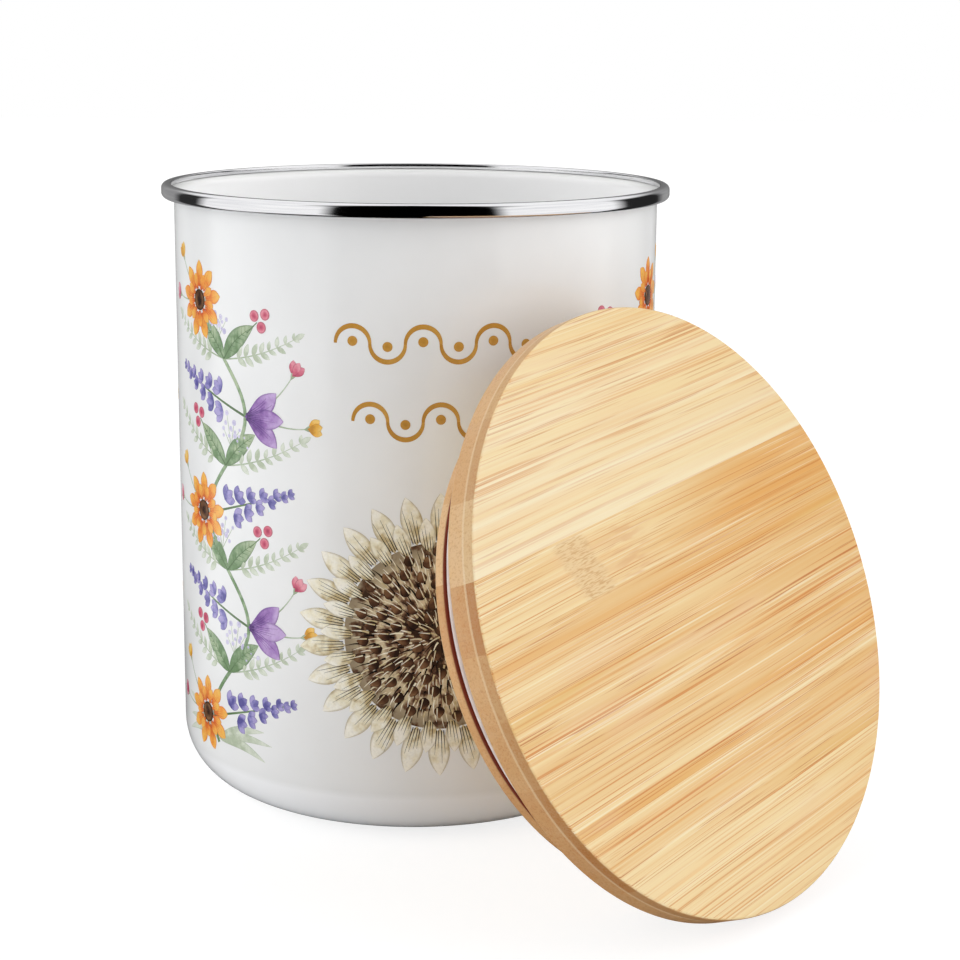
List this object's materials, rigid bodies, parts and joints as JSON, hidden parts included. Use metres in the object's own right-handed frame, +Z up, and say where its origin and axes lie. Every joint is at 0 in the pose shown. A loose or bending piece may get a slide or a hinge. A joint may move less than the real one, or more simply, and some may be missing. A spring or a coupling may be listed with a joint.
{
  "type": "enamelled storage tin with bamboo lid",
  "caption": "Round enamelled steel storage tin with a steel rim ring, floral print and a push-in bamboo lid with a soft seal, the lid off and leaning on the wall.",
  "frame": {"origin": "centre of the tin's base, on the surface that it stands on", "axes": "+Z up along the tin's axis, -Y towards the front of the print, +X to the right seen from the front"},
  "size_m": [0.1666, 0.1902, 0.145],
  "materials": {
    "enamel": "glossy white fired enamel on steel",
    "steel": "polished stainless steel sheet",
    "bamboo": "sanded and oiled laminated bamboo",
    "silicone": "soft moulded silicone, satin",
    "print_green": "fired-on print, glossy",
    "print_orange": "fired-on print, glossy",
    "print_violet": "fired-on print, glossy",
    "print_blue": "fired-on print, glossy",
    "print_pink": "fired-on print, glossy",
    "print_brown": "fired-on print, glossy",
    "print_cream": "fired-on print, glossy",
    "print_gold": "fired-on print, glossy"
  },
  "bodies": {
    "root": {"tin_body": "enamel", "rim_ring": "steel", "bamboo_lid": "bamboo", "lid_seal": "silicone", "print_leaves": "print_green", "print_daisies": "print_orange", "print_bells": "print_violet", "print_spikes": "print_blue", "print_berries": "print_pink", "print_seeds": "print_brown", "print_head_petals": "print_cream", "print_scrolls": "print_gold"}
  },
  "joints": []
}
